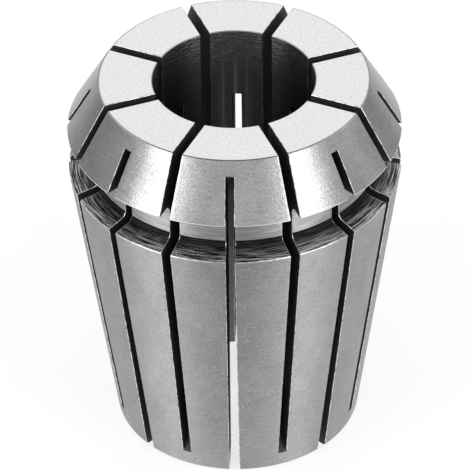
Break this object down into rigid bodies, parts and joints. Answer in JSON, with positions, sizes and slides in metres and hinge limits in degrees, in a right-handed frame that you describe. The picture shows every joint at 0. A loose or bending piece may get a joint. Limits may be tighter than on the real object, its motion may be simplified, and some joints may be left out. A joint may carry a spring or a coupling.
{
  "type": "er collet",
  "caption": "Slotted spring collet with a long outer taper, a short front cone, a groove for pulling it out and a round through bore that closes on a tool shank.",
  "frame": {"origin": "centre of the small end, on the plane that the collet stands on", "axes": "+Z along the bore from the small end to the front face; a slot that is open at the small end faces -Y"},
  "size_m": [0.033, 0.033, 0.04],
  "materials": {
    "ground_steel": "hardened spring steel, ground outside, turned in the groove, honed in the bore"
  },
  "bodies": {
    "root": {"collet": "ground_steel"}
  },
  "joints": []
}
